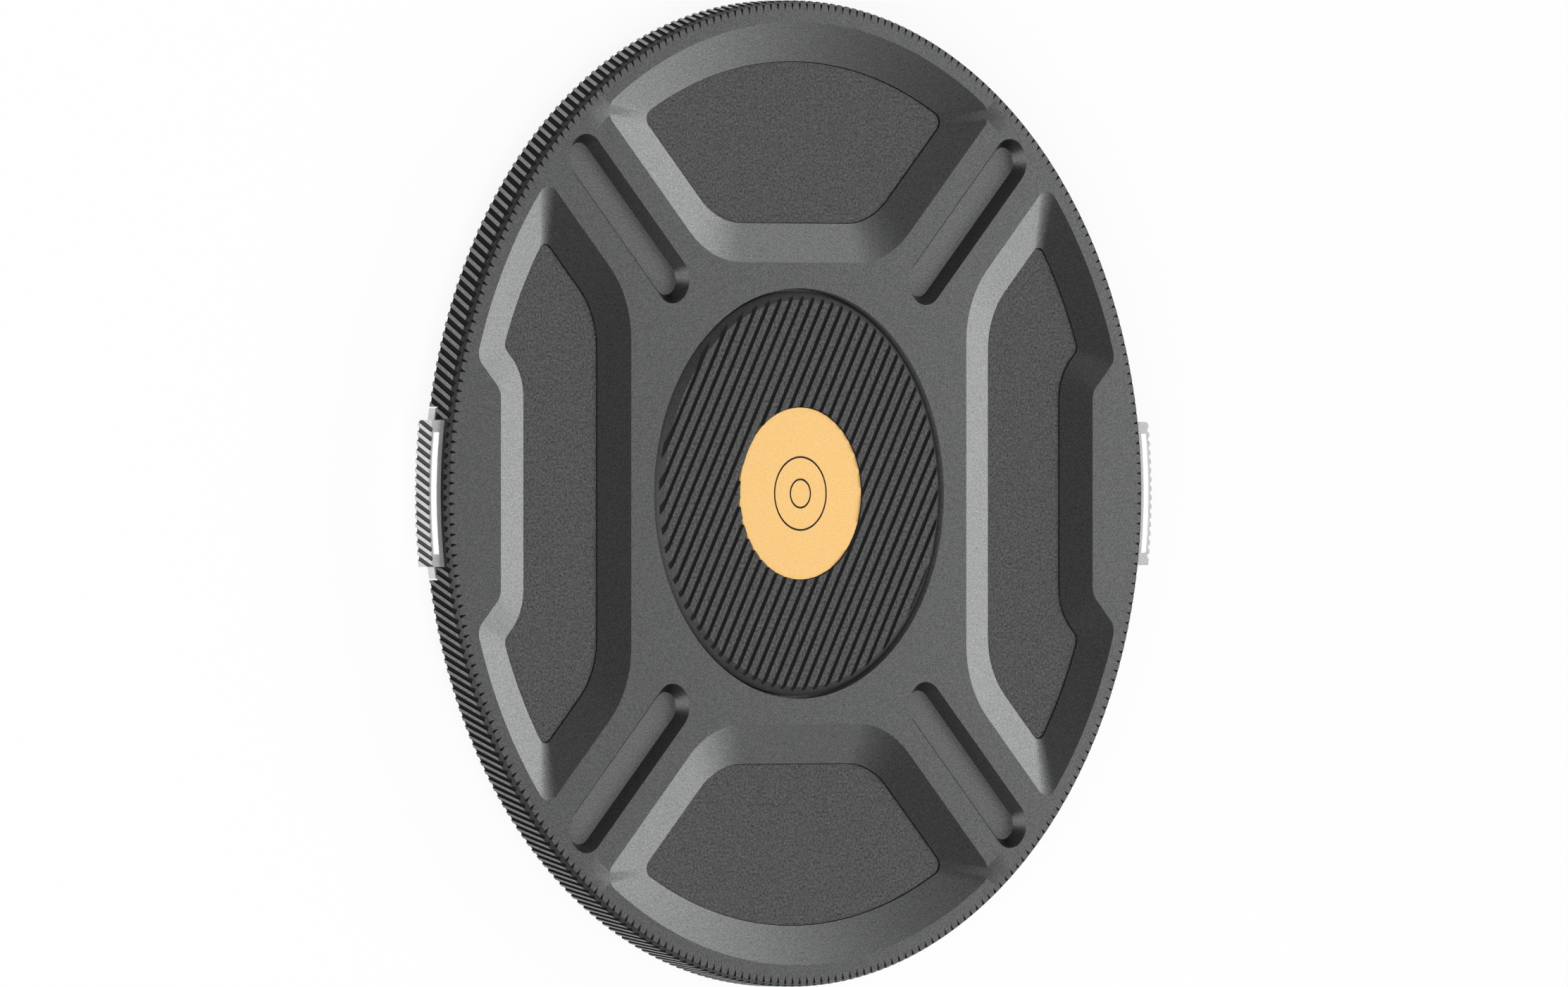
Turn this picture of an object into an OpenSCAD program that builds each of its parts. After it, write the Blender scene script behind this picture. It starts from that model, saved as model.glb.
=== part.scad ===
// Round pinch-release filter cap, lying on its rear face with the front face up.
// The two silver buttons slide along X and carry the jaws that grip the filter thread.

/* [Front shell] */
// Radius of the front face at its edge
face_r = 45; // [44.5:0.1:60]
// Thickness of the knurled rim
rim_t = 3.1; // [3.1:0.1:5]
// Height of the plain bevel between the face edge and the knurl
bevel_h = 0.57; // [0.3:0.01:0.6]
// How far that bevel widens from the face edge to the knurl
bevel_run = 0.28; // [0.1:0.02:0.4]
// Thickness of the front plate
plate_t = 2.1; // [2:0.05:2.2]

/* [Knurl] */
// Number of slanted grooves round the rim
knurl_count = 300; // [60:10:360]
// Depth of a groove
knurl_depth = 0.17; // [0.1:0.01:0.4]
// Width of a groove, across its own length
knurl_w = 0.48; // [0.2:0.02:0.5]
// Slant of the grooves from the axis, in degrees
knurl_lean = 29; // [0:1:40]
// How far a groove runs out into the bevel
knurl_tip = 0.25; // [0:0.05:0.3]

/* [Front pockets] */
// Width of plain face between the pockets and the face edge
pocket_margin = 1.7; // [1.2:0.1:3]
// Width of the sloped walls, seen from the front
slope_w = 3.6; // [2:0.1:4]
// Depth of the sloped walls
slope_depth = 0.75; // [0.4:0.05:0.8]
// Radius of the large corner fillets at the middle of the cap, at the face
pocket_fillet = 9.4; // [4.5:0.1:11]
// Radius of those fillets at the foot of the slope
foot_fillet = 7.6; // [2:0.1:9]
// Radius of the outer corners at the face
pocket_corner = 1.4; // [0.6:0.1:2]
// Radius of the outer corners at the foot of the slope
pad_corner = 0.9; // [0.5:0.1:1.2]
// Distance from the centre recess to the upper and lower pockets
tall_start = 2.34; // [1.8:0.02:5]
// Distance from the face diagonal to the upper and lower pockets
tall_side = 6.86; // [6:0.1:9]
// Distance from the centre recess to the side pockets
wide_start = 2.94; // [1.8:0.02:5]
// Distance from the face diagonal to the side pockets
wide_side = 2.74; // [1.5:0.1:5]
// Depth of the plain face over each button, from the face edge
notch_depth = 6.5; // [6:0.1:8]
// Half the width of that plain face at its inner edge
notch_half = 9.37; // [8.6:0.01:10]
// Radius inside that corner at the face
notch_fillet = 1.5; // [0.5:0.1:3]

/* [Pads] */
// Thickness of a pad
pad_t = 0.6; // [0.4:0.05:0.7]
// Step from the foot of the slope down to the pad
pad_step = 0.12; // [0.05:0.01:0.2]
// Gap round a pad
pad_gap = 0.06; // [0.02:0.01:0.15]

/* [Diagonal slots] */
// Width of a slot at the face
slot_w = 4.35; // [3:0.05:5]
// Sideways offset of a slot from the face diagonal
slot_offset = 2.17; // [1.8:0.05:2.6]
// Distance from the centre recess to the inner end of a slot
slot_start = 4.44; // [3.2:0.02:9]
// Distance from the outer end of a slot to the face edge
slot_margin = 1.7; // [1.4:0.1:5]
// Depth of a slot
slot_depth = 0.97; // [0.5:0.01:1.3]
// Width of a slot's sloped wall, seen from the front
slot_run = 0.79; // [0.3:0.01:1]

/* [Centre] */
// Radius of the round recess
recess_r = 18.86; // [17:0.1:20]
// Depth of the round recess
recess_depth = 1; // [0.8:0.05:1.2]
// Gap between the disc and the recess wall
disc_gap = 0.3; // [0.1:0.02:0.5]
// Height of the disc above the front face
disc_proud = 0.23; // [0:0.01:0.4]
// Width of the bevel round the disc
disc_bevel_w = 0.78; // [0.4:0.02:1]
// Height of the bevel round the disc
disc_bevel_h = 0.6; // [0.3:0.02:0.8]
// Distance from one diagonal groove to the next
rib_pitch = 1.207; // [0.9:0.01:2]
// Width of a diagonal groove
rib_groove_w = 0.46; // [0.2:0.02:0.7]
// Depth of a diagonal groove
rib_groove_depth = 0.3; // [0.1:0.02:0.4]
// Direction of the diagonal grooves, in degrees from X
rib_turn = 60; // [0:5:90]
// Distance of the middle groove from the centre of the cap
rib_shift = 0.39; // [0:0.01:0.6]

/* [Medallion] */
// Radius of the gold medallion
badge_r = 7.89; // [6:0.1:10]
// Thickness of the medallion
badge_t = 0.8; // [0.4:0.05:0.85]
// How far the medallion lies below the top of the disc
badge_set = 0.15; // [0.05:0.01:0.25]
// Gap round the medallion
badge_gap = 0.08; // [0.02:0.01:0.2]
// Radii of the engraved rings
badge_rings = [1.3, 3.35];
// Width and depth of an engraved line
engrave_w = 0.18; // [0.1:0.02:0.3]

/* [Rear cover] */
// Width of the ledge that rests on the filter ring, from the spigot to the face edge
ledge_w = 4.9; // [4.8:0.05:5.4]
// Width of the relief beside the spigot, which clears the first thread of the filter
relief_w = 1.1; // [1:0.05:1.4]
// Depth of that relief
relief_depth = 0.2; // [0.1:0.05:0.4]
// Height of the spigot behind the rim
spigot_h = 2.4; // [2.4:0.1:4]
// Thickness of the spigot wall
spigot_wall = 1.4; // [1:0.1:1.6]
// Thickness of the cover's floor
floor_t = 0.8; // [0.6:0.05:0.85]
// Gap between the plug above the spigot and the shell
cover_fit = 0.05; // [0.02:0.01:0.1]
// Bevel at the rear edge of the spigot
spigot_bevel = 0.3; // [0.1:0.05:0.5]

/* [Buttons] */
// Travel of a button
travel = 1.6; // [0.5:0.1:1.7]
// Setback of a button's front from the front face
grip_set = 0.69; // [0.65:0.01:1]
// Height of the ribbed grip along the axis
grip_h = 1.76; // [1.7:0.02:1.9]
// Gap between the rim and the inside of the grip
grip_gap = 0.22; // [0.1:0.02:0.5]
// Width of the plain bar inside the white line
bar_w = 0.5; // [0.3:0.02:0.8]
// Width of the white line
line_w = 0.72; // [0.4:0.02:1]
// Thickness of the ribbed wall outside the white line
grip_wall = 0.35; // [0.3:0.01:0.6]
// Half the length of the grip
grip_half = 6.66; // [6.2:0.1:9]
// Half the length of the white line
line_half = 5.55; // [4:0.05:5.6]
// Depth of the white line below the button's front
line_sink = 0.1; // [0.02:0.01:0.2]
// Thickness of the white inlay
line_t = 0.3; // [0.2:0.05:0.5]
// Number of grooves across the grip
grip_grooves = 16; // [6:1:20]
// Angle between two grooves, in degrees
grip_pitch = 1.02; // [0.9:0.02:1.1]
// Radius of a groove
grip_groove_r = 0.21; // [0.1:0.01:0.22]
// Slant of the grooves from the axis, in degrees
grip_lean = 28; // [0:1:35]
// Thickness of the slide that carries the grip
slide_t = 0.85; // [0.75:0.05:0.86]
// Half the width of that slide
slide_half = 7.74; // [7.2:0.1:9.5]
// Half the width of the neck between slide and grip
neck_half = 6; // [5:0.1:6.1]
// Thickness of the neck inside the grip
neck_t = 0.5; // [0.3:0.05:0.6]
// Height of the neck above the slide
neck_h = 0.5; // [0.3:0.05:0.6]
// Running gap round the moving pieces
slide_gap = 0.07; // [0.05:0.01:0.1]

/* [Jaws] */
// How far the jaw's thread crests stand out from the spigot
jaw_reach = 0.85; // [0.7:0.05:0.9]
// Pitch of the filter thread
thread_pitch = 0.75; // [0.5:0.25:0.75]
// Depth of the jaw's thread
thread_depth = 0.4; // [0.2:0.05:0.45]
// Half the width of a jaw
jaw_half = 11; // [9.8:0.1:12]
// Distance from the spigot's surface in to the inner face of a jaw
jaw_depth = 13.1; // [12:0.1:15]
// Half the width of the jaw's shoulders, which stop it at the spigot wall
shoulder_half = 13.5; // [12.6:0.1:14.5]
// Gap between a jaw and the floor or plate
jaw_gap = 0.1; // [0.05:0.01:0.12]

/* [Springs] */
// Sideways distance of the guide rods from the centre
rod_y = 6.5; // [4:0.1:7.5]
// Radius of a guide rod
rod_r = 0.5; // [0.3:0.05:0.5]
// How far a guide rod reaches into a jaw
rod_reach = 5; // [3.5:0.1:6]
// Clearance of a jaw on its rod
rod_fit = 0.05; // [0.02:0.01:0.08]
// Distance from a spring seat to the jaw
spring_room = 10; // [8:0.1:15]
// Thickness of the walls of the spring seats
seat_wall = 1.5; // [1:0.1:2]
// Half the width of the spring seats
seat_half = 9; // [8.8:0.1:12]
// Radius of the spring wire
wire_r = 0.14; // [0.1:0.01:0.16]
// Radius of the spring at the middle of its wire
coil_r = 0.8; // [0.76:0.01:0.84]
// Number of turns in a spring
coil_turns = 9; // [5:1:12]
// Gap at each end of a spring
spring_play = 0.03; // [0.02:0.01:0.1]

/* [Screws] */
// Distance from the spigot's surface in to the cover screws
cover_screw_in = 5.6; // [5.1:0.1:9]
// Radius of a cover screw
cover_screw_r = 0.8; // [0.6:0.05:0.9]
// Length of a cover screw
cover_screw_l = 3; // [2.2:0.1:3.1]
// Radius of the boss round a cover screw
boss_r = 2.2; // [1.8:0.1:2.6]
// Distance from the spigot's surface in to the jaw screws
jaw_screw_in = 2.5; // [2.3:0.1:2.7]
// Sideways distance of the jaw screws
jaw_screw_y = 4.2; // [2:0.1:5.5]
// Radius of a jaw screw
jaw_screw_r = 0.5; // [0.3:0.05:0.55]
// Clearance of a screw in its hole
screw_fit = 0.02; // [0.01:0.01:0.05]
// Radius of a screw's head, as a multiple of its shank's
head_ratio = 1.9; // [1.6:0.05:2]
// Height of the plain rim of a screw's head
head_rim = 0.1; // [0.05:0.01:0.15]

/* [Hidden] */
over = 0.1;
round_fn = 96;
arc_steps = 8;
rim_steps = 18;
groove_fn = 24;
crest_at = 0.35;
face_z = spigot_h + rim_t;
plate_z = face_z - plate_t;
rim_r = face_r + bevel_run;
spigot_r = face_r - ledge_w;
wall_in = spigot_r - spigot_wall;
pocket_r = face_r - pocket_margin;
tall_inner = recess_r + tall_start;
wide_inner = recess_r + wide_start;
notch_x = face_r - notch_depth;
notch_side = (notch_x - notch_half) / sqrt(2);
slot_in = recess_r + slot_start;
slot_out = face_r - slot_margin;
pad_z = face_z - slope_depth - pad_step - pad_t;
disc_r = recess_r - disc_gap;
disc_z = face_z - recess_depth;
disc_t = recess_depth + disc_proud;
badge_z = face_z + disc_proud - badge_set - badge_t;
grip_in = rim_r + grip_gap;
line_in = grip_in + bar_w;
line_out = line_in + line_w;
grip_out = line_out + grip_wall;
grip_top = face_z - grip_set;
slide_top = spigot_h + slide_t;
jaw_r = spigot_r + jaw_reach;
jaw_inner = spigot_r - jaw_depth;
jaw_screw_x = spigot_r - jaw_screw_in;
cover_screw_at = spigot_r - cover_screw_in;
seat_x = jaw_inner - spring_room;
rod_half = jaw_inner + rod_reach;
jaw_outer = sqrt(pow(wall_in, 2) - pow(shoulder_half, 2)) - jaw_gap;
slide_in = jaw_outer + 2 * jaw_gap;
jaw_z = floor_t + jaw_gap;
jaw_top = plate_z - jaw_gap;
rod_z = (jaw_z + jaw_top) / 2;
window_in = sqrt(pow(grip_in - neck_t, 2) - pow(neck_half, 2)) - travel - 2 * slide_gap;

// Points of an arc from one angle to another
function arc(centre, r, from, to, steps) =
    [for (i = [0:steps]) let (a = from + (to - from) * i / steps) centre + r * [cos(a), sin(a)]];

// A point given along and across the face diagonal
function diagonal_point(along, across) = [along + across, along - across] / sqrt(2);

function direction(p) = atan2(p.y, p.x);
function mirror_x(points) = [for (i = [len(points) - 1:-1:0]) [-points[i].x, points[i].y]];
function mirror_y(points) = [for (i = [len(points) - 1:-1:0]) [points[i].x, -points[i].y]];

// Right half of the upper pocket, from its inner edge out to the rim and up to the middle
function tall_half(inset, corner, r_in) =
    let (r_out = pocket_r - inset,
        side = tall_side + inset,
        low = diagonal_point(sqrt(2) * (tall_inner + inset + r_in) - side - r_in, -side - r_in),
        high = diagonal_point(sqrt(pow(r_out - corner, 2) - pow(side + corner, 2)), -side - corner))
    concat(arc(low, r_in, -90, -45, arc_steps),
        arc(high, corner, -45, direction(high), arc_steps),
        [for (i = [1:rim_steps]) let (a = direction(high) + (90 - direction(high)) * i / rim_steps)
            r_out * [cos(a), sin(a)]]);

function tall_outline(inset, corner, r_in) =
    let (half = tall_half(inset, corner, r_in), left = mirror_x(half))
    concat(half, [for (i = [1:len(left) - 1]) left[i]]);

// Upper half of the right-hand pocket, from the plain face over the button round to its inner edge
function wide_half(inset, corner, r_in) =
    let (r_out = pocket_r - inset,
        side = wide_side + inset,
        far_side = notch_side - inset,
        r_notch = notch_fillet + inset,
        notch_c = notch_x - inset + r_notch,
        in_c = wide_inner + inset + r_in,
        notch = [notch_c, notch_c - sqrt(2) * (far_side + r_notch)],
        lobe = diagonal_point(sqrt(pow(r_out - corner, 2) - pow(far_side - corner, 2)), far_side - corner),
        tip = diagonal_point(sqrt(pow(r_out - corner, 2) - pow(side + corner, 2)), side + corner),
        fillet = [in_c, in_c - sqrt(2) * (side + r_in)])
    concat(arc(notch, r_notch, 180, 135, arc_steps),
        arc(lobe, corner, -45, direction(lobe), arc_steps),
        arc([0, 0], r_out, direction(lobe) + 1, direction(tip) - 1, rim_steps),
        arc(tip, corner, direction(tip), 135, arc_steps),
        arc(fillet, r_in, 135, 180, arc_steps));

function wide_outline(inset, corner, r_in) =
    let (half = wide_half(inset, corner, r_in)) concat(half, mirror_y(half));

// Closed solid through outlines of equal length, each at its own height
module loft(outlines, heights) {
    n = len(outlines[0]);
    points = [for (k = [0:len(heights) - 1]) for (p = outlines[k]) [p.x, p.y, heights[k]]];
    walls = [for (k = [0:len(heights) - 2]) for (i = [0:n - 1]) let (j = (i + 1) % n)
        each [[k * n + i, (k + 1) * n + i, (k + 1) * n + j], [k * n + i, (k + 1) * n + j, k * n + j]]];
    floor_face = [for (i = [0:n - 1]) i];
    roof_face = [for (i = [n - 1:-1:0]) (len(heights) - 1) * n + i];
    polyhedron(points, concat([floor_face, roof_face], walls), convexity = 8);
}

// Pocket with sloped walls and an upright seat for its pad
module pocket_cut(at_face, at_foot) {
    foot_z = face_z - slope_depth;
    loft([at_foot, at_foot, at_face, at_face], [pad_z, foot_z, face_z, face_z + over]);
}

module pad_shape(outline) {
    translate([0, 0, pad_z]) linear_extrude(pad_t) polygon(outline);
}

// Long slot with sloped walls and round ends, lying along X
module slot_cut() {
    low = slot_w / 2 - slot_run;
    high = slot_w / 2 + over * slot_run / slot_depth;
    depth = slot_depth + over;
    ends = [slot_in + slot_w / 2, slot_out - slot_w / 2];
    translate([0, 0, face_z - slot_depth]) {
        for (x = ends) translate([x, 0, 0]) cylinder(h = depth, r1 = low, r2 = high, $fn = round_fn);
        translate([ends[0], 0, 0]) rotate([90, 0, 90]) linear_extrude(ends[1] - ends[0])
            polygon([[-low, 0], [low, 0], [high, depth], [-high, depth]]);
    }
}

module knurl_cuts() {
    tip_z = face_z - bevel_h + knurl_tip;
    length = (tip_z - spigot_h + knurl_w) / cos(knurl_lean);
    for (i = [0:knurl_count - 1])
        rotate((i + 0.5) * 360 / knurl_count) translate([rim_r - knurl_depth, 0, tip_z])
            rotate([-knurl_lean, 0, 0]) translate([0, -knurl_w / 2, -length])
                cube([knurl_depth + over, knurl_w, length]);
}

// Opening in the rim on the +X side for the grip, and below it the passage for the slide
module button_window() {
    grip_window = grip_half + 2 * slide_gap;
    slide_window = slide_half + 2 * slide_gap;
    translate([window_in, -grip_window, spigot_h - over])
        cube([rim_r + over - window_in, 2 * grip_window, grip_top + slide_gap - spigot_h + over]);
    translate([wall_in, -slide_window, spigot_h - over])
        cube([rim_r + over - wall_in, 2 * slide_window, slide_t + slide_gap + over]);
}

module at_cover_screws() {
    for (a = [45:90:315]) rotate(a) translate([cover_screw_at, 0, 0]) children();
}

module front_shell() color([0.40, 0.41, 0.41]) {
    difference() {
        union() {
            rotate_extrude($fn = 2 * round_fn) polygon([[0, plate_z], [spigot_r, plate_z],
                [spigot_r, spigot_h + relief_depth], [spigot_r + relief_w, spigot_h + relief_depth],
                [spigot_r + relief_w, spigot_h], [rim_r, spigot_h], [rim_r, face_z - bevel_h],
                [face_r, face_z], [0, face_z]]);
            at_cover_screws() translate([0, 0, floor_t + cover_fit])
                cylinder(h = plate_z - floor_t, r = boss_r, $fn = round_fn);
        }
        for (flip = [0, 1]) mirror([0, flip, 0])
            pocket_cut(tall_outline(0, pocket_corner, pocket_fillet),
                tall_outline(slope_w, pad_corner, foot_fillet));
        for (flip = [0, 1]) mirror([flip, 0, 0])
            pocket_cut(wide_outline(0, pocket_corner, pocket_fillet),
                wide_outline(slope_w, pad_corner, foot_fillet));
        for (mx = [0, 1], my = [0, 1]) mirror([mx, 0, 0]) mirror([0, my, 0])
            rotate(45) translate([0, slot_offset, 0]) slot_cut();
        translate([0, 0, disc_z]) cylinder(h = recess_depth + over, r = recess_r, $fn = 2 * round_fn);
        for (side = [0, 180]) rotate(side) button_window();
        at_cover_screws() cylinder(h = cover_screw_l + over, r = cover_screw_r, $fn = round_fn);
        knurl_cuts();
    }
}

module tall_pad() pad_shape(tall_outline(slope_w + pad_gap, pad_corner, foot_fillet - pad_gap));
module wide_pad() pad_shape(wide_outline(slope_w + pad_gap, pad_corner, foot_fillet - pad_gap));
module pad_top() color([0.33, 0.33, 0.33]) tall_pad();
module pad_bottom() color([0.33, 0.33, 0.33]) mirror([0, 1, 0]) tall_pad();
module pad_left() color([0.33, 0.33, 0.33]) mirror([1, 0, 0]) wide_pad();
module pad_right() color([0.33, 0.33, 0.33]) wide_pad();

module centre_disc() color([0.26, 0.26, 0.26]) {
    top_z = disc_z + disc_t;
    reach = floor(disc_r / rib_pitch);
    difference() {
        rotate_extrude($fn = 2 * round_fn) polygon([[0, disc_z], [disc_r, disc_z],
            [disc_r, top_z - disc_bevel_h], [disc_r - disc_bevel_w, top_z], [0, top_z]]);
        for (i = [-reach:reach]) rotate(rib_turn)
            translate([-disc_r, i * rib_pitch + rib_shift - rib_groove_w / 2, top_z - rib_groove_depth])
                cube([2 * disc_r, rib_groove_w, rib_groove_depth + over]);
        translate([0, 0, badge_z])
            cylinder(h = badge_t + badge_set + over, r = badge_r + badge_gap, $fn = round_fn);
    }
}

module badge() color([0.98, 0.80, 0.50]) difference() {
    translate([0, 0, badge_z]) cylinder(h = badge_t, r = badge_r, $fn = round_fn);
    for (r = badge_rings) translate([0, 0, badge_z + badge_t]) rotate_extrude($fn = round_fn)
        translate([r, 0]) square(engrave_w, center = true);
}

// Countersunk screw, head down, with a cross recess
module countersunk(r, length) {
    head_r = head_ratio * r;
    cross_w = r / 3;
    difference() {
        rotate_extrude($fn = round_fn) polygon([[0, 0], [head_r, 0], [head_r, head_rim],
            [r, head_r - r + head_rim], [r, length], [0, length]]);
        for (a = [0, 90]) rotate(a) translate([-r, -cross_w / 2, -over])
            cube([2 * r, cross_w, r / 2 + over]);
    }
}

// Hole for such a screw, with room round its head
module countersunk_hole(r, length) {
    head_r = head_ratio * r + cover_fit;
    hole_r = r + cover_fit;
    rotate_extrude($fn = round_fn) polygon([[0, -over], [head_r, -over], [head_r, head_rim],
        [hole_r, head_r - hole_r + head_rim], [hole_r, length], [0, length]]);
}

module rear_cover() color([0.13, 0.13, 0.14]) {
    plug_r = spigot_r - cover_fit;
    jaw_window = jaw_half + 2 * jaw_gap;
    difference() {
        union() {
            rotate_extrude($fn = 2 * round_fn) polygon([[0, 0], [spigot_r - spigot_bevel, 0],
                [spigot_r, spigot_bevel], [spigot_r, spigot_h], [plug_r, spigot_h],
                [plug_r, plate_z - cover_fit],
                [wall_in, plate_z - cover_fit], [wall_in, floor_t], [0, floor_t]]);
            translate([-seat_x, -seat_half, floor_t - over])
                cube([2 * seat_x, 2 * seat_half, jaw_top - floor_t + over]);
        }
        translate([seat_wall - seat_x, seat_wall - seat_half, floor_t])
            cube([2 * (seat_x - seat_wall), 2 * (seat_half - seat_wall), jaw_top]);
        for (side = [0, 180]) rotate(side) translate([jaw_inner, -jaw_window, floor_t])
            cube([spigot_r, 2 * jaw_window, jaw_top]);
        for (y = [-rod_y, rod_y]) translate([-seat_x - over, y, rod_z]) rotate([0, 90, 0])
            cylinder(h = 2 * (seat_x + over), r = rod_r + rod_fit / 2, $fn = round_fn);
        at_cover_screws() countersunk_hole(cover_screw_r, floor_t + over);
    }
}

module cover_screws() color([0.30, 0.30, 0.32]) at_cover_screws()
    countersunk(cover_screw_r - screw_fit, cover_screw_l);

module guide_rod(y) translate([-rod_half, y, rod_z]) rotate([0, 90, 0])
    cylinder(h = 2 * rod_half, r = rod_r, $fn = round_fn);
module guide_rod_upper() color([0.75, 0.76, 0.78]) guide_rod(rod_y);
module guide_rod_lower() color([0.75, 0.76, 0.78]) guide_rod(-rod_y);

// Part of a ring round the cap axis, cut straight at both ends
module ring_piece(r_in, r_out, half, z_low, z_high) {
    intersection() {
        translate([0, 0, z_low]) difference() {
            cylinder(h = z_high - z_low, r = r_out, $fn = 2 * round_fn);
            translate([0, 0, -over])
                cylinder(h = z_high - z_low + 2 * over, r = r_in, $fn = 2 * round_fn);
        }
        translate([sqrt(pow(r_in, 2) - pow(half, 2)) - over, -half, z_low - over])
            cube([r_out, 2 * half, z_high - z_low + 2 * over]);
    }
}

module grip_cuts() {
    for (i = [0:grip_grooves - 1])
        rotate((i - (grip_grooves - 1) / 2) * grip_pitch)
            translate([grip_out, 0, grip_top - grip_h / 2]) rotate([-grip_lean, 0, 0])
                cylinder(h = 2 * grip_h, r = grip_groove_r, center = true, $fn = groove_fn);
}

// Button on the +X side, with its grip, neck and slide in one piece
module button_shape() {
    difference() {
        union() {
            ring_piece(grip_in, grip_out, grip_half, grip_top - grip_h, grip_top);
            ring_piece(grip_in - neck_t, line_in, neck_half, spigot_h, slide_top);
            ring_piece(grip_in - neck_t, line_out, neck_half, slide_top - over, slide_top + neck_h);
            intersection() {
                translate([0, 0, spigot_h]) cylinder(h = slide_t, r = rim_r, $fn = 2 * round_fn);
                translate([slide_in, -slide_half, spigot_h - over])
                    cube([rim_r, 2 * slide_half, slide_t + 2 * over]);
            }
        }
        grip_cuts();
        ring_piece(line_in, line_out, line_half, grip_top - line_sink - line_t, grip_top + over);
        for (y = [-jaw_screw_y, jaw_screw_y]) translate([jaw_screw_x, y, spigot_h - over])
            cylinder(h = slide_t + 2 * over, r = jaw_screw_r, $fn = round_fn);
    }
}

module line_shape() ring_piece(line_in, line_out, line_half,
    grip_top - line_sink - line_t, grip_top - line_sink);

module button_left() color([0.78, 0.78, 0.78]) rotate(180) button_shape();
module button_right() color([0.78, 0.78, 0.78]) button_shape();
module line_left() color([1, 1, 1]) rotate(180) line_shape();
module line_right() color([1, 1, 1]) line_shape();

// Jaw on the +X side: a thick block on the rods, a seat under the slide, a toe with the thread
module jaw_shape() {
    root = jaw_r - thread_depth;
    toe_top = spigot_h - jaw_gap;
    crests = [toe_top - (1 + crest_at) * thread_pitch, toe_top - crest_at * thread_pitch];
    bore_end = rod_half + travel + 2 * jaw_gap;
    difference() {
        union() {
            intersection() {
                rotate_extrude($fn = 2 * round_fn) polygon([[jaw_inner, jaw_z], [root, jaw_z],
                    [jaw_r, crests[0]], [root, crests[0] + thread_pitch / 2], [jaw_r, crests[1]],
                    [root, toe_top], [jaw_inner, toe_top]]);
                translate([jaw_outer - over, -jaw_half, 0]) cube([jaw_r, 2 * jaw_half, face_z]);
            }
            translate([jaw_inner, -shoulder_half, jaw_z])
                cube([jaw_outer - jaw_inner, 2 * shoulder_half, jaw_top - jaw_z]);
            translate([jaw_outer - over, -slide_half, jaw_z])
                cube([root - jaw_outer, 2 * slide_half, spigot_h - jaw_z]);
        }
        for (y = [-rod_y, rod_y]) translate([jaw_inner - over, y, rod_z]) rotate([0, 90, 0])
            cylinder(h = bore_end - jaw_inner + over, r = rod_r + rod_fit, $fn = round_fn);
        for (y = [-jaw_screw_y, jaw_screw_y]) translate([jaw_screw_x, y, jaw_z])
            countersunk_hole(jaw_screw_r, spigot_h);
    }
}

module jaw_screws_shape() for (y = [-jaw_screw_y, jaw_screw_y])
    translate([jaw_screw_x, y, jaw_z]) countersunk(jaw_screw_r - screw_fit, slide_top - jaw_z);

module jaw_left() color([0.12, 0.12, 0.13]) rotate(180) jaw_shape();
module jaw_right() color([0.12, 0.12, 0.13]) jaw_shape();
module jaw_screws_left() color([0.6, 0.6, 0.62]) rotate(180) jaw_screws_shape();
module jaw_screws_right() color([0.6, 0.6, 0.62]) jaw_screws_shape();

// Coil spring round a guide rod, between the spring seat and the jaw on the +X side
module spring_shape() {
    sides = 6;
    steps = 12;
    start = seat_x + wire_r + spring_play;
    length = spring_room - 2 * (wire_r + spring_play);
    rings = coil_turns * steps;
    points = [for (k = [0:rings]) let (turn = 360 * k / steps) for (s = [0:sides - 1])
        let (a = 360 * s / sides, r = coil_r + wire_r * cos(a))
            [start + length * k / rings + wire_r * sin(a), r * cos(turn), r * sin(turn)]];
    walls = [for (k = [0:rings - 1]) for (s = [0:sides - 1]) let (t = (s + 1) % sides, b = k * sides)
        each [[b + s, b + sides + t, b + t], [b + s, b + sides + s, b + sides + t]]];
    ends = [[for (s = [0:sides - 1]) s], [for (s = [sides - 1:-1:0]) rings * sides + s]];
    polyhedron(points, concat(ends, walls), convexity = 12);
}

module spring_right_upper() color([0.8, 0.8, 0.82]) translate([0, rod_y, rod_z]) spring_shape();
module spring_right_lower() color([0.8, 0.8, 0.82]) translate([0, -rod_y, rod_z]) spring_shape();
module spring_left_upper() color([0.8, 0.8, 0.82])
    rotate(180) translate([0, -rod_y, rod_z]) spring_shape();
module spring_left_lower() color([0.8, 0.8, 0.82])
    rotate(180) translate([0, rod_y, rod_z]) spring_shape();

front_shell();
pad_top();
pad_bottom();
pad_left();
pad_right();
centre_disc();
badge();
rear_cover();
cover_screws();
guide_rod_upper();
guide_rod_lower();
button_left();
button_right();
line_left();
line_right();
jaw_left();
jaw_right();
jaw_screws_left();
jaw_screws_right();
spring_left_upper();
spring_left_lower();
spring_right_upper();
spring_right_lower();
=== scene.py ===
import math

import bmesh
import bpy
from mathutils import Matrix, Vector


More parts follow.
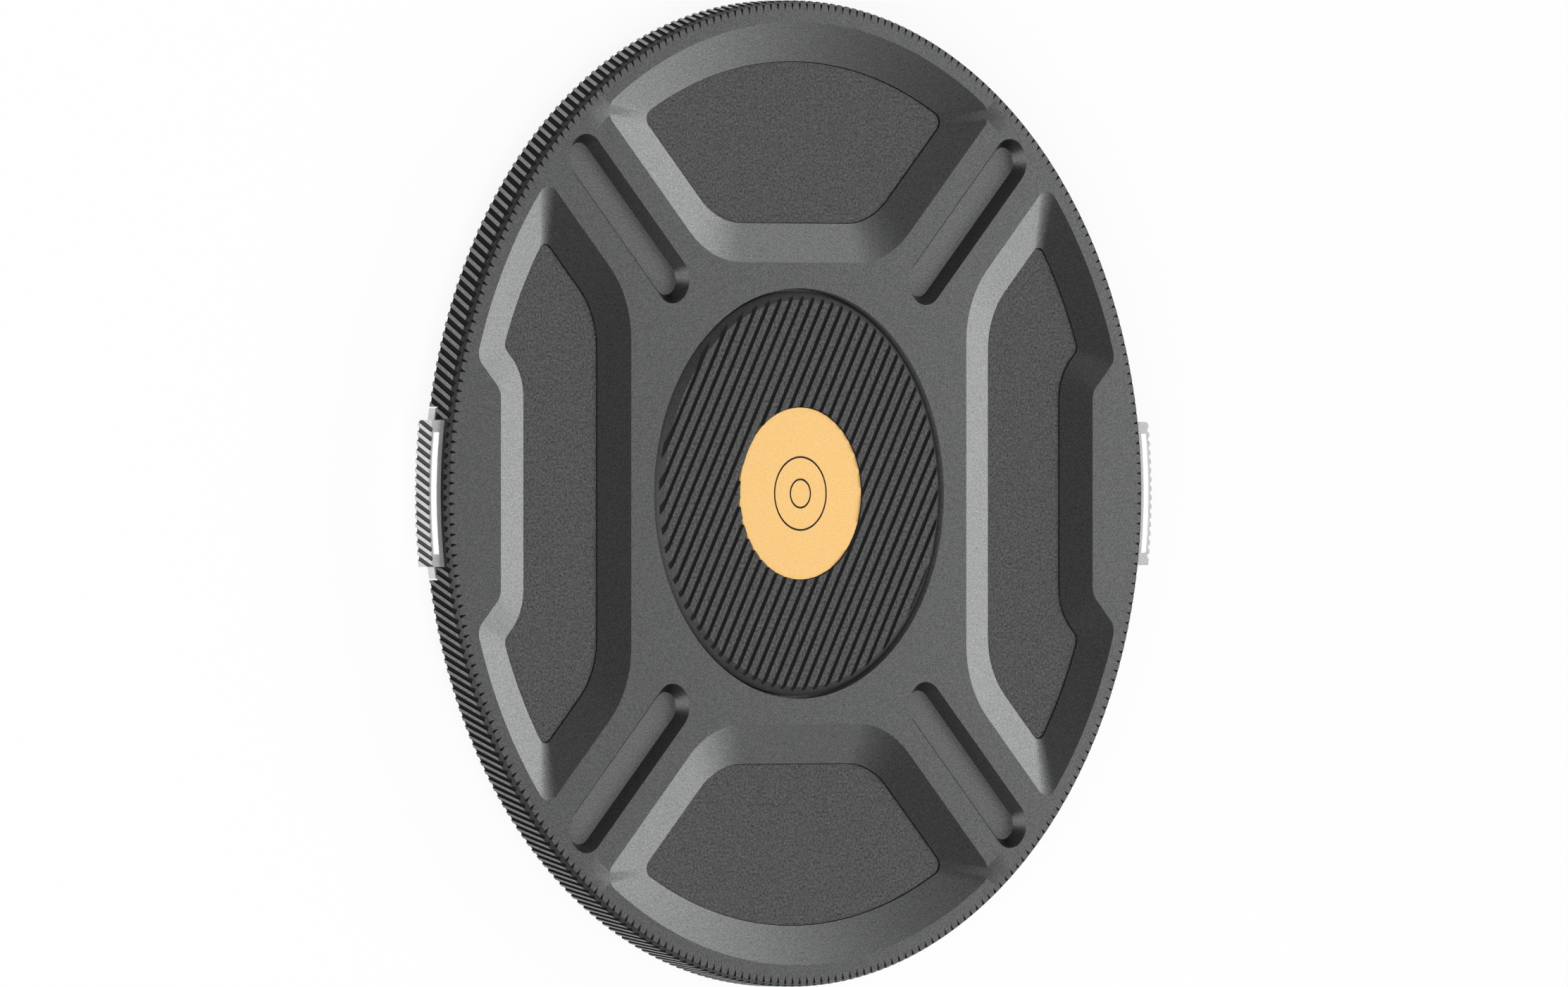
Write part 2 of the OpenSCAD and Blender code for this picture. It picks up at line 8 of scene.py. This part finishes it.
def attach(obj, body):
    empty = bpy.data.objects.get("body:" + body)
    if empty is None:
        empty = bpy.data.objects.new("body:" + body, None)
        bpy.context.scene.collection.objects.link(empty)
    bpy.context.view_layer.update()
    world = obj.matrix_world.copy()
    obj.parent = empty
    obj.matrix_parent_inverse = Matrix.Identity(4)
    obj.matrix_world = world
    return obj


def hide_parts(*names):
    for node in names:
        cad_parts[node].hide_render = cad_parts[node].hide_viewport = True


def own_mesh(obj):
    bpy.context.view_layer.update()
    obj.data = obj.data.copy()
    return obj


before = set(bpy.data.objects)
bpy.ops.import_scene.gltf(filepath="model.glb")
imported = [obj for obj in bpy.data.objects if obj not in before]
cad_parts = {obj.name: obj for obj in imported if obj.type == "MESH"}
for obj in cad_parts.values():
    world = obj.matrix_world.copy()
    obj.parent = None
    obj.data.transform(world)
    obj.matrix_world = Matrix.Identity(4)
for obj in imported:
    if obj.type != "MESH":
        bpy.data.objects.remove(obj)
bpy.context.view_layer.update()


# Camera. The photograph looks at the cap through a long lens, from 45 degrees to its left and level
# with its middle. The cap lies face up here, so its +Y is up in the picture.
aim = Vector((0, 0, 0.0055))
side_angle = math.radians(45.13)
camera_distance = 2.696
focal_pixels, image_width, centre_offset, sensor_width = 41681, 2226, 22.4, 36
to_camera = Vector((-math.sin(side_angle), 0, math.cos(side_angle)))
picture_right = Vector((math.cos(side_angle), 0, math.sin(side_angle)))
camera_data = bpy.data.cameras.new("camera")
camera_data.sensor_width = sensor_width
camera_data.lens = sensor_width * focal_pixels / image_width
camera_data.shift_x = -centre_offset / image_width
camera_data.clip_start, camera_data.clip_end = 0.1, 20
camera = bpy.data.objects.new("camera", camera_data)
place = Matrix((picture_right, (0, 1, 0), to_camera)).transposed().to_4x4()
place.translation = aim + to_camera * camera_distance
camera.matrix_world = place
bpy.context.scene.collection.objects.link(camera)
bpy.context.scene.camera = camera
bpy.context.scene.view_settings.view_transform = "Standard"


# Table, studio and lamps. The cap lies on a white table in a pale studio that is brightest near the
# horizon. A large soft lamp stands low on the cap's right, a second one high behind the camera, and
# a small one lights the face from above.
def new_material(name):
    material = bpy.data.materials.new(name)
    material.use_nodes = True
    nodes = material.node_tree.nodes
    nodes.clear()
    return material, nodes, material.node_tree.links


table_white, glow_share, table_radius, table_drop = (0.9, 0.9, 0.9, 1), 0.9, 4.0, 0.0001
table_material, nodes, links = new_material("table_white")
lit = nodes.new("ShaderNodeBsdfDiffuse")
lit.inputs["Color"].default_value = table_white
white = nodes.new("ShaderNodeEmission")
white.inputs["Color"].default_value = (1, 1, 1, 1)
rays = nodes.new("ShaderNodeLightPath")
seen = nodes.new("ShaderNodeMath")
seen.operation = "MAXIMUM"
links.new(rays.outputs["Is Camera Ray"], seen.inputs[0])
links.new(rays.outputs["Is Glossy Ray"], seen.inputs[1])
seen_too = nodes.new("ShaderNodeMath")
seen_too.operation = "MAXIMUM"
links.new(seen.outputs[0], seen_too.inputs[0])
links.new(rays.outputs["Is Transmission Ray"], seen_too.inputs[1])
share = nodes.new("ShaderNodeMath")
share.operation = "MULTIPLY"
share.inputs[1].default_value = glow_share
links.new(seen_too.outputs[0], share.inputs[0])
blend = nodes.new("ShaderNodeMixShader")
links.new(share.outputs[0], blend.inputs["Fac"])
links.new(lit.outputs[0], blend.inputs[1])
links.new(white.outputs[0], blend.inputs[2])
surface = nodes.new("ShaderNodeOutputMaterial")
links.new(blend.outputs[0], surface.inputs["Surface"])

table_mesh = bpy.data.meshes.new("table")
bm = bmesh.new()
bmesh.ops.create_circle(bm, cap_ends=True, segments=96, radius=table_radius)
bm.to_mesh(table_mesh)
bm.free()
table_mesh.materials.append(table_material)
table = bpy.data.objects.new("table", table_mesh)
table.location.z = -table_drop
bpy.context.scene.collection.objects.link(table)

studio = bpy.data.worlds.new("studio")
bpy.context.scene.world = studio
studio.use_nodes = True
nodes, links = studio.node_tree.nodes, studio.node_tree.links
nodes.clear()
direction = nodes.new("ShaderNodeTexCoord")
parts = nodes.new("ShaderNodeSeparateXYZ")
links.new(direction.outputs["Generated"], parts.inputs[0])
shade = nodes.new("ShaderNodeValToRGB")
horizon, zenith = shade.color_ramp.elements
horizon.position, horizon.color = 0.02, (1, 1, 1, 1)
zenith.position, zenith.color = 0.62, (0.05, 0.05, 0.05, 1)
for band_edge in (0.1, 0.45):
    pale_band = shade.color_ramp.elements.new(band_edge)
    pale_band.color = (0.45, 0.45, 0.45, 1)
links.new(parts.outputs["Z"], shade.inputs["Fac"])
air = nodes.new("ShaderNodeBackground")
air.inputs["Strength"].default_value = 1.22
links.new(shade.outputs["Color"], air.inputs["Color"])
sky = nodes.new("ShaderNodeOutputWorld")
links.new(air.outputs[0], sky.inputs["Surface"])


def soft_lamp(name, from_direction, distance, width, height, watts):
    data = bpy.data.lights.new(name, "AREA")
    data.shape = "RECTANGLE"
    data.size, data.size_y, data.energy = width, height, watts
    lamp = bpy.data.objects.new(name, data)
    lamp.location = Vector(from_direction).normalized() * distance
    lamp.rotation_mode = "QUATERNION"
    lamp.rotation_quaternion = Vector(from_direction).to_track_quat("Z", "Y")
    lamp.visible_camera = False
    bpy.context.scene.collection.objects.link(lamp)


soft_lamp("right_lamp", (0.902, 0.143, 0.407), 1.2, 1.3, 0.6, 6.6)
soft_lamp("high_lamp", (-0.714, -0.333, 0.616), 2.2, 2.2, 2.2, 61)
soft_lamp("top_lamp", (-0.4, 0, 1), 1.5, 0.8, 0.8, 2.9)


# Front shell. One disc of aluminium with pockets, slots and a centre recess milled into its face,
# and a rim knurled aslant, bead blasted and anodised dark grey. The knurling wheel leaves a small
# thorn-shaped nick in the edge of the face above each groove.
def merged_copy(name, node, sharp_degrees):
    bm = bmesh.new()
    bm.from_mesh(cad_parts[node].data)
    bmesh.ops.remove_doubles(bm, verts=bm.verts, dist=1e-6)
    mesh = bpy.data.meshes.new(name)
    bm.to_mesh(mesh)
    bm.free()
    mesh.attributes.remove(mesh.attributes["custom_normal"])
    mesh.shade_smooth()
    mesh.set_sharp_from_angle(angle=math.radians(sharp_degrees))
    piece = bpy.data.objects.new(name, mesh)
    bpy.context.scene.collection.objects.link(piece)
    return piece


def settle(piece, body, slot, material, *nodes_replaced):
    piece.data.materials.clear()
    piece.data.materials.append(material)
    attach(piece, body)
    if nodes_replaced:
        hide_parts(*nodes_replaced)


# chosen is told a face's radius and height in mm, and how much its normal points up and outwards.
def repaint(piece, material, chosen):
    if material.name not in piece.data.materials:
        piece.data.materials.append(material)
    index = piece.data.materials.find(material.name)
    for face in piece.data.polygons:
        x, y, z = face.center * 1000
        radius = math.hypot(x, y)
        outward = (face.normal.x * x + face.normal.y * y) / radius if radius else 0
        if chosen(radius, z, face.normal.z, outward):
            face.material_index = index


def grained(name, colour, metallic, roughness, grain_size, grain_height, colour_swing=0.1):
    material, nodes, links = new_material(name)
    place = nodes.new("ShaderNodeTexCoord")
    grain = nodes.new("ShaderNodeTexNoise")
    grain.inputs["Scale"].default_value = 1 / grain_size
    grain.inputs["Detail"].default_value = 2.0
    links.new(place.outputs["Object"], grain.inputs["Vector"])
    tint = nodes.new("ShaderNodeMapRange")
    tint.inputs["From Min"].default_value = 0.25
    tint.inputs["From Max"].default_value = 0.75
    tint.inputs["To Min"].default_value = 1 - colour_swing
    tint.inputs["To Max"].default_value = 1 + colour_swing
    links.new(grain.outputs["Fac"], tint.inputs["Value"])
    paint = nodes.new("ShaderNodeMix")
    paint.data_type, paint.blend_type = "RGBA", "MULTIPLY"
    paint.inputs["Factor"].default_value = 1
    paint.inputs["A"].default_value = (*colour, 1)
    links.new(tint.outputs["Result"], paint.inputs["B"])
    relief = nodes.new("ShaderNodeBump")
    relief.inputs["Distance"].default_value = grain_height
    links.new(grain.outputs["Fac"], relief.inputs["Height"])
    skin = nodes.new("ShaderNodeBsdfPrincipled")
    skin.inputs["Metallic"].default_value = metallic
    skin.inputs["Roughness"].default_value = roughness
    links.new(paint.outputs["Result"], skin.inputs["Base Color"])
    links.new(relief.outputs["Normal"], skin.inputs["Normal"])
    surface = nodes.new("ShaderNodeOutputMaterial")
    links.new(skin.outputs[0], surface.inputs["Surface"])
    return material


def shader_of(material):
    return next(node for node in material.node_tree.nodes if node.type == "BSDF_PRINCIPLED")


anodised = grained("anodised_grey", (0.154, 0.158, 0.156), metallic=1.0, roughness=0.37,
                   grain_size=0.00013, grain_height=0.000004, colour_swing=0.45)
# Painted shade: a much darker copy of the same anodising for the rim's bevel band, which faces away
# from the light.
shaded_edge_grey = grained("anodised_edge_painted_shade", (0.043, 0.043, 0.043), metallic=1.0, roughness=0.45,
                    grain_size=0.00016, grain_height=0.000002, colour_swing=0.2)
# Painted light: a lighter copy of the same anodising for the tops of the knurl's ridges.
lit_rim_grey = grained("anodised_rim_painted_light", (0.185, 0.189, 0.187), metallic=1.0, roughness=0.4,
                   grain_size=0.00016, grain_height=0.000003, colour_swing=0.4)
# Painted shade: a near-black, dull material that fills the knurl's grooves and the nicks, where
# shade falls.
painted_groove_shade = grained("painted_groove_shade", (0.008, 0.008, 0.008), metallic=0.0, roughness=0.8,
                      grain_size=0.0001, grain_height=0.000002, colour_swing=0.2)
shader_of(painted_groove_shade).inputs["Specular IOR Level"].default_value = 0.1
# Painted light: a lighter, less mirror-like copy of the same anodising for the slot floors and the
# centre recess's wall, against the shade and dark reflections there.
lightened_slot_grey = grained("slot_floor", (0.18, 0.184, 0.182), metallic=0.8, roughness=0.6,
                       grain_size=0.00013, grain_height=0.000005, colour_swing=0.5)
# Painted shade: a darker copy of the same anodising for the slots' sloping walls.
shaded_wall_grey = grained("steep_wall_painted_shade", (0.045, 0.046, 0.045), metallic=1.0, roughness=0.4,
                     grain_size=0.00016, grain_height=0.000005, colour_swing=0.3)

face_radius, rim_radius, face_height = 45.0, 45.28, 5.5
groove_radius = rim_radius - 0.06
recess_radius, slot_floor, slot_start, slot_end = 18.86, 4.53, 20.0, 43.5
shell = merged_copy("shell", "front_shell", 8)
settle(shell, "cap", "shell", anodised)
# Painted shade: the side walls of the knurl's grooves.
repaint(shell, painted_groove_shade, lambda r, z, up, out: r > face_radius and out < 0.99 and abs(up) < 0.9)
# Painted shade: the rim's bevel band.
repaint(shell, shaded_edge_grey, lambda r, z, up, out: r > face_radius and up > 0.4 and out > 0.8)
# Painted shade: the floors of the knurl's grooves.
repaint(shell, painted_groove_shade, lambda r, z, up, out: face_radius < r < groove_radius and out > 0.98)
# Painted light: the tops of the knurl's ridges.
repaint(shell, lit_rim_grey, lambda r, z, up, out: r > groove_radius and out > 0.98)
# Painted light: the wall of the centre recess.
repaint(shell, lightened_slot_grey, lambda r, z, up, out: abs(r - recess_radius) < 0.1 and out < -0.9)
# Painted light: the floors of the slots.
repaint(shell, lightened_slot_grey,
        lambda r, z, up, out: r > slot_start and up > 0.99 and abs(z - slot_floor) < 0.02)
# Painted shade: the slots' sloping walls.
repaint(shell, shaded_wall_grey, lambda r, z, up, out: slot_start < r < slot_end and 0.5 < up < 0.75)

nick_count, nick_tip, nick_root, nick_width, nick_depth = 300, 44.28, 45.06, 0.42, 0.14
tip_rise, root_rise, metres_a_mm = 0.01, 0.02, 0.001
bm = bmesh.new()
for corner in ((nick_tip, 0, face_height + tip_rise),
               (nick_root, -nick_width / 2, face_height + root_rise),
               (nick_root, nick_width / 2, face_height + root_rise),
               (nick_root, 0, face_height - nick_depth)):
    bm.verts.new(corner)
bmesh.ops.convex_hull(bm, input=bm.verts)
bmesh.ops.spin(bm, geom=bm.verts[:] + bm.edges[:] + bm.faces[:], cent=(0, 0, 0), axis=(0, 0, 1),
               dvec=(0, 0, 0), angle=2 * math.pi * (nick_count - 1) / nick_count,
               steps=nick_count - 1, use_duplicate=True)
bmesh.ops.scale(bm, vec=(metres_a_mm, metres_a_mm, metres_a_mm), verts=bm.verts)
bmesh.ops.recalc_face_normals(bm, faces=bm.faces)
nick_mesh = bpy.data.meshes.new("nicks")
bm.to_mesh(nick_mesh)
bm.free()
# The nicks are cut with the near-black material, so their faces carry painted shade.
nick_mesh.materials.append(painted_groove_shade)
nicks = bpy.data.objects.new("nicks", nick_mesh)
bpy.context.scene.collection.objects.link(nicks)
cut = shell.modifiers.new("nicks", "BOOLEAN")
cut.operation, cut.solver, cut.object, cut.material_mode = "DIFFERENCE", "EXACT", nicks, "TRANSFER"
cut_shell = shell.evaluated_get(bpy.context.evaluated_depsgraph_get())
finished = bpy.data.meshes.new_from_object(cut_shell)
shell.modifiers.clear()
shell.data = finished
bpy.data.objects.remove(nicks)
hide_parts("front_shell")


# Pads. Four pads of grained black rubber, cut to the outline of the pockets' floors and glued in
# with a hairline joint round each.
grained_rubber = grained("grained_rubber", (0.054, 0.054, 0.054), metallic=0.0, roughness=0.7,
                         grain_size=0.0002, grain_height=0.00008, colour_swing=1.0)
for side in ("top", "bottom", "left", "right"):
    pad = merged_copy("pad_" + side + "_rubber", "pad_" + side, 30)
    settle(pad, "cap", "pad", grained_rubber, "pad_" + side)


# Centre disc. A moulded dark disc with slanted ribs and a bevelled edge, pressed into the recess.
# The rib tops are grained, the grooves between them are smooth and painted darker as shade, and the
# bevelled edge is painted darker as shade too.
disc_top, rib_depth_seen, rib_reach = 5.73, 0.05, 17.7
ribbed_plastic = grained("ribbed_plastic", (0.045, 0.045, 0.045), metallic=0.0, roughness=0.6,
                         grain_size=0.00026, grain_height=0.0001, colour_swing=1.1)
# Painted shade in the grooves between the disc's ribs, a near-black copy of the disc's plastic; the
# same material gives the medallion's engraved rings their own black.
groove_shade_and_ring_black = grained("groove_shade_and_ring_black", (0.012, 0.012, 0.012), metallic=0.0, roughness=0.6,
                         grain_size=0.0002, grain_height=0.00001)
disc = merged_copy("ribbed_disc", "centre_disc", 25)
settle(disc, "cap", "disc", ribbed_plastic, "centre_disc")
# Painted shade: the grooves between the ribs.
repaint(disc, groove_shade_and_ring_black, lambda r, z, up, out: z < disc_top - rib_depth_seen and r < rib_reach)
# Painted shade: a darker copy of the disc's plastic for its bevelled edge, all round.
shaded_bevel_plastic = grained("shaded_bevel_plastic", (0.02, 0.02, 0.02), metallic=0.0, roughness=0.6,
                        grain_size=0.00022, grain_height=0.00003, colour_swing=0.6)
repaint(disc, shaded_bevel_plastic, lambda r, z, up, out: out > 0.4 and up > 0.4)


# Medallion. A plain round plate of satin gold, engraved with two rings and glued into the middle of
# the disc. The dark rings are the engraved lines.
satin_gold = grained("satin_gold", (1.0, 0.63, 0.235), metallic=0.6, roughness=0.5,
                     grain_size=0.00014, grain_height=0.000003, colour_swing=0.12)
medallion = merged_copy("medallion", "badge", 30)
settle(medallion, "cap", "gold", satin_gold, "badge")
ring_reach, ring_foot, ring_top = 5.0, 5.46, 5.57
repaint(medallion, groove_shade_and_ring_black,
        lambda r, z, up, out: r < ring_reach and ring_foot < z < ring_top)


# Buttons. Two bead-blasted aluminium buttons, each with a ribbed grip and a white filled line. The
# grooves of the grip are painted dark as shade, and the white line is given a faint painted glow.
blasted_silver = grained("blasted_silver", (0.58, 0.58, 0.58), metallic=0.7, roughness=0.4,
                         grain_size=0.00014, grain_height=0.000003, colour_swing=0.15)
# Painted shade: a dark copy for the grooves of the grip.
shaded_grip_groove = grained("shaded_grip_groove", (0.065, 0.065, 0.065), metallic=0.5, roughness=0.6,
                      grain_size=0.00014, grain_height=0.000003, colour_swing=0.15)
white_fill_painted_glow = grained("white_fill_painted_glow", (1.0, 1.0, 1.0), metallic=0.0, roughness=0.5,
                     grain_size=0.0003, grain_height=0.000003, colour_swing=0.02)
# Painted light: the white line is given a faint glow, though it is no lamp.
shader_of(white_fill_painted_glow).inputs["Emission Color"].default_value = (1, 1, 1, 1)
shader_of(white_fill_painted_glow).inputs["Emission Strength"].default_value = 0.14
grip_radius, grip_groove_radius = 47.04, 46.72
for side in ("left", "right"):
    button = merged_copy("button_" + side + "_metal", "button_" + side, 30)
    settle(button, side + "_slide", "silver", blasted_silver, "button_" + side)
    # Painted shade: the grooves of the grip.
    repaint(button, shaded_grip_groove,
            lambda r, z, up, out: grip_groove_radius < r < grip_radius and abs(up) < 0.9)
    line = merged_copy("line_" + side + "_fill", "line_" + side, 30)
    settle(line, side + "_slide", "white_line", white_fill_painted_glow, "line_" + side)


# Springs. Each of the four coil springs slides over a guide rod and pushes a jaw outwards. Its
# round wire lies close together in the first and last turn, which rest on the seat and on the jaw.
spring_wire = grained("spring_wire", (0.65, 0.66, 0.68), metallic=1.0, roughness=0.25,
                      grain_size=0.0002, grain_height=0.000001, colour_swing=0.05)
wire_radius, coil_radius, rod_side, rod_height = 0.14, 0.8, 6.5, 2.1
seat, seat_face, spring_length, shortest = 17.17, 0.017, 9.66, 0.84
steps_a_turn, wire_sides, open_turns = 24, 8, 7
for side, sign in (("left", -1), ("right", 1)):
    for level, across in (("upper", rod_side), ("lower", -rod_side)):
        bm = bmesh.new()
        start = Matrix.Translation(Vector((sign * seat, across, rod_height + coil_radius)) / 1000)
        bmesh.ops.create_circle(bm, segments=wire_sides, radius=wire_radius / 1000,
                                matrix=start @ Matrix.Rotation(math.pi / 2, 4, "X"))
        geometry = list(bm.verts) + list(bm.edges)
        closed = 2.2 * wire_radius
        open_rise = (spring_length - 2 * closed) / open_turns
        for turns, rise in ((1, closed), (open_turns, open_rise), (1, closed)):
            swept = bmesh.ops.spin(bm, geom=geometry, cent=(0, across / 1000, rod_height / 1000),
                                   axis=(sign, 0, 0), angle=2 * math.pi * turns,
                                   dvec=(sign * rise / steps_a_turn / 1000, 0, 0),
                                   steps=steps_a_turn * turns)
            geometry = swept["geom_last"]
        bmesh.ops.holes_fill(bm, edges=bm.edges, sides=wire_sides)
        bmesh.ops.recalc_face_normals(bm, faces=bm.faces)
        name = "spring_" + side + "_" + level
        mesh = bpy.data.meshes.new(name + "_wire")
        bm.to_mesh(mesh)
        bm.free()
        mesh.shade_smooth()
        spring = bpy.data.objects.new(name + "_wire", mesh)
        bpy.context.scene.collection.objects.link(spring)
        settle(spring, "cap", "spring", spring_wire, name)
        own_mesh(spring)


# Rear cover. A turned plate of black plastic with the spigot that enters the filter ring. Four
# blackened countersunk screws hold it to the shell and close the chamber of the jaws.
def ease_edges(piece, width):
    bevel = piece.modifiers.new("eased_edges", "BEVEL")
    bevel.limit_method, bevel.angle_limit = "ANGLE", math.radians(35)
    bevel.width, bevel.segments, bevel.harden_normals = width, 2, True


black_plastic = grained("black_plastic", (0.03, 0.03, 0.032), metallic=0.0, roughness=0.5,
                        grain_size=0.0002, grain_height=0.00001)
cover = merged_copy("rear_cover_plate", "rear_cover", 30)
settle(cover, "cap", "cover", black_plastic, "rear_cover")
ease_edges(cover, 0.00008)
black_steel = grained("black_steel", (0.08, 0.08, 0.085), metallic=1.0, roughness=0.35,
                      grain_size=0.0002, grain_height=0.000002, colour_swing=0.05)
cover_screws = merged_copy("cover_screw_set", "cover_screws", 30)
settle(cover_screws, "cap", "dark_screw", black_steel, "cover_screws")
ease_edges(cover_screws, 0.00003)


# Guide rods. Two ground steel rods, each with a spring on both ends, lie across the cap and guide
# the jaws.
ground_steel = grained("ground_steel", (0.6, 0.61, 0.63), metallic=1.0, roughness=0.25,
                       grain_size=0.0002, grain_height=0.000001, colour_swing=0.05)
for node in ("guide_rod_upper", "guide_rod_lower"):
    rod = merged_copy(node + "_steel", node, 30)
    settle(rod, "cap", "rod", ground_steel, node)
    ease_edges(rod, 0.00008)


# Jaws. Each is moulded in black plastic, with the ridges that hold in the filter thread, and two
# bright steel screws fix it to its button.
bright_steel = grained("bright_steel", (0.5, 0.5, 0.52), metallic=1.0, roughness=0.3,
                       grain_size=0.0002, grain_height=0.000002, colour_swing=0.05)
for side in ("left", "right"):
    jaw = merged_copy("jaw_" + side + "_moulding", "jaw_" + side, 30)
    settle(jaw, side + "_slide", "jaw", black_plastic, "jaw_" + side)
    ease_edges(jaw, 0.00005)
    jaw_screws = merged_copy("jaw_screw_pair_" + side, "jaw_screws_" + side, 30)
    settle(jaw_screws, side + "_slide", "steel_screw", bright_steel, "jaw_screws_" + side)
    ease_edges(jaw_screws, 0.00003)
